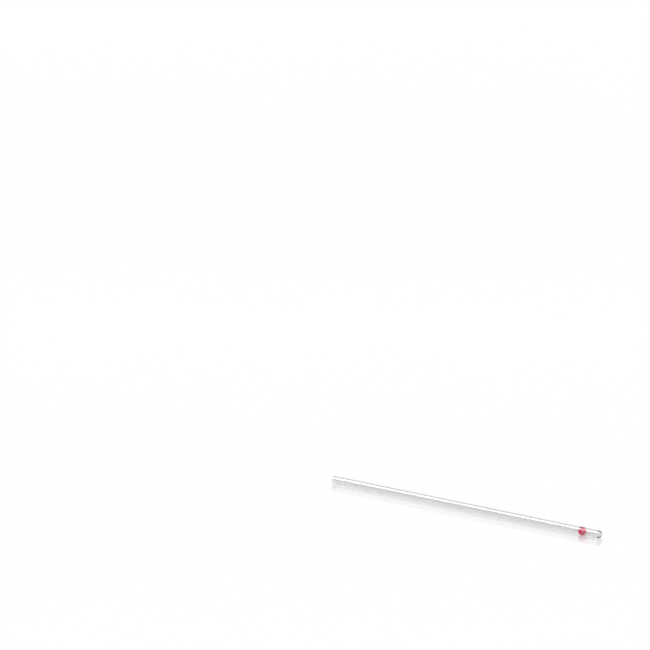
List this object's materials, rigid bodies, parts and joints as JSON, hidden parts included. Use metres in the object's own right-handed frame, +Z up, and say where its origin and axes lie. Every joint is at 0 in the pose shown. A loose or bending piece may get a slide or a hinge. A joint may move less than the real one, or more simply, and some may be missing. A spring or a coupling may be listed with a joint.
{
  "type": "glass capillary tube",
  "caption": "Thin glass tube, open at both flame-polished ends, with a red colour ring near one end; draws up and holds a small measured column of liquid.",
  "frame": {"origin": "on the surface that the tube lies on, under the middle of its length", "axes": "+X along the tube towards the end with the colour ring, +Z up"},
  "size_m": [0.075, 0.0016, 0.0017],
  "materials": {
    "clear_glass": "clear drawn glass, fire-polished rims",
    "red_enamel": "gloss fired-on ink"
  },
  "bodies": {
    "root": {"glass_tube": "clear_glass", "colour_ring": "red_enamel"}
  },
  "joints": []
}
